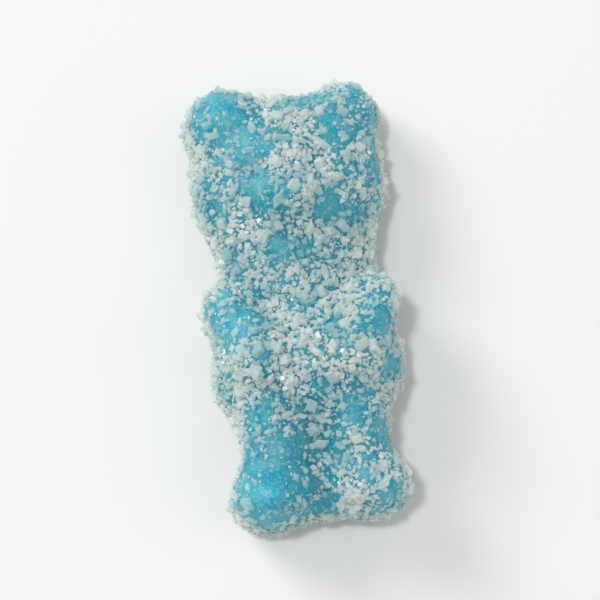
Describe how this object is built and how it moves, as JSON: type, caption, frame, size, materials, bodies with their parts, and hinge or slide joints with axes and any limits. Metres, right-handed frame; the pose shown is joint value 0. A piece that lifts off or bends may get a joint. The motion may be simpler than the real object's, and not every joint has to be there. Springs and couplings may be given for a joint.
{
  "type": "sour gummy candy",
  "caption": "Small moulded fruit-gel figure with a round head, ears, folded arms and short legs, flat at the back and coated all over in coarse sour sugar.",
  "frame": {"origin": "on the flat back that the candy rests on, under the middle of the figure", "axes": "+Z out of the front of the figure, +Y along it towards the head, +X to the right of someone looking down at it"},
  "size_m": [0.012, 0.0258, 0.0079],
  "materials": {
    "sugared_gel": "translucent blue gel under a coat of white sugar crystals"
  },
  "bodies": {
    "root": {"gummy_figure": "sugared_gel"}
  },
  "joints": []
}
